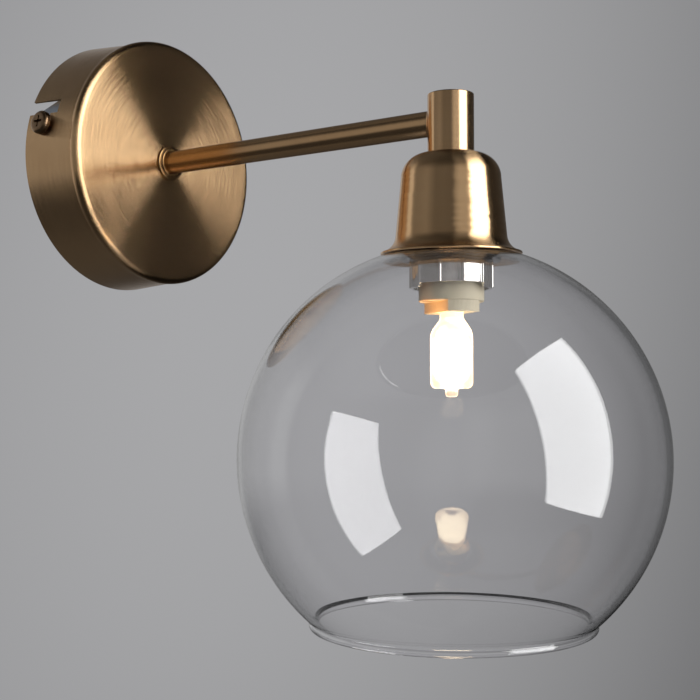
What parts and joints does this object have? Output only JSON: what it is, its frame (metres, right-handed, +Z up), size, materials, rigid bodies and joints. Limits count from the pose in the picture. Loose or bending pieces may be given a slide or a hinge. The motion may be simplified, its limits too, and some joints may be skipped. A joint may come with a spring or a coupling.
{
  "type": "globe wall sconce",
  "caption": "Wall light with a round canopy, a straight arm, an upright post and a flared cup that holds a clear glass globe, open below, round a capsule lamp.",
  "frame": {"origin": "centre of the wall face, on the arm's axis", "axes": "+Y into the wall, +Z up; the arm runs out along -Y"},
  "size_m": [0.15, 0.242, 0.2292],
  "materials": {
    "antique_brass": "satin, finely brushed, darkened",
    "bright_brass": "bright, machined",
    "zinc_steel": "zinc plated",
    "chrome": "polished",
    "pale_washer": "matt",
    "clear_glass": "clear, blown, fire-polished lip",
    "frosted_glass": "frosted, lit",
    "cream_ceramic": "unglazed, smooth",
    "contact_nickel": "nickel plated",
    "filament_wire": "drawn wire",
    "block_plastic": "moulded",
    "brown_insulation": "sleeved wire",
    "blue_insulation": "sleeved wire",
    "green_yellow_insulation": "sleeved wire"
  },
  "bodies": {
    "bracket": {"wall_bracket": "zinc_steel", "canopy_screws": "bright_brass", "earth_screw": "zinc_steel", "earth_washer": "zinc_steel"},
    "lamp": {"canopy": "antique_brass", "backing_plate": "zinc_steel", "arm_nipple": "zinc_steel", "earth_terminal": "zinc_steel", "arm_lock_washer": "zinc_steel", "arm_nut": "zinc_steel", "nipple_bush": "block_plastic", "arm_collar": "antique_brass", "arm_tube": "antique_brass", "post": "antique_brass", "post_cap": "antique_brass", "post_nipple": "zinc_steel", "bell_cup": "antique_brass", "bell_washer": "zinc_steel", "bell_nut": "zinc_steel", "holder_sleeve": "chrome", "sleeve_grub_screw": "bright_brass", "lampholder_body": "cream_ceramic", "lampholder_screws": "zinc_steel", "lampholder_contacts": "contact_nickel", "terminal_block": "block_plastic", "terminal_clamps": "bright_brass", "terminal_screws": "zinc_steel", "block_screws": "zinc_steel", "lead_live": "brown_insulation", "lead_neutral": "blue_insulation", "lead_earth": "green_yellow_insulation"},
    "shade": {"glass_globe": "clear_glass", "shade_washer": "pale_washer"},
    "ring": {"lock_ring": "chrome"},
    "bulb": {"bulb_envelope": "frosted_glass", "bulb_pins": "contact_nickel", "bulb_filament": "filament_wire"}
  },
  "joints": [
    {"name": "canopy_twist", "type": "hinge", "parent": "bracket", "child": "lamp", "pos_m": [0, 0, 0], "axis": [0, -1, 0], "range_deg": [0, 8.3]},
    {"name": "ring_turn", "type": "hinge", "parent": "shade", "child": "ring", "pos_m": [0, -0.167, -0.053], "axis": [0, 0, -1], "range_deg": [0, 1800]},
    {"name": "shade_drop", "type": "slide", "parent": "lamp", "child": "shade", "axis": [0, 0, -1], "range_m": [0, 0.0075]},
    {"name": "bulb_pull", "type": "slide", "parent": "lamp", "child": "bulb", "axis": [0, 0, -1], "range_m": [0, 0.016]}
  ],
  "couplings": [
    {"joint": "ring_turn", "follows": "shade_drop", "rad_per_m": 4188.8}
  ]
}
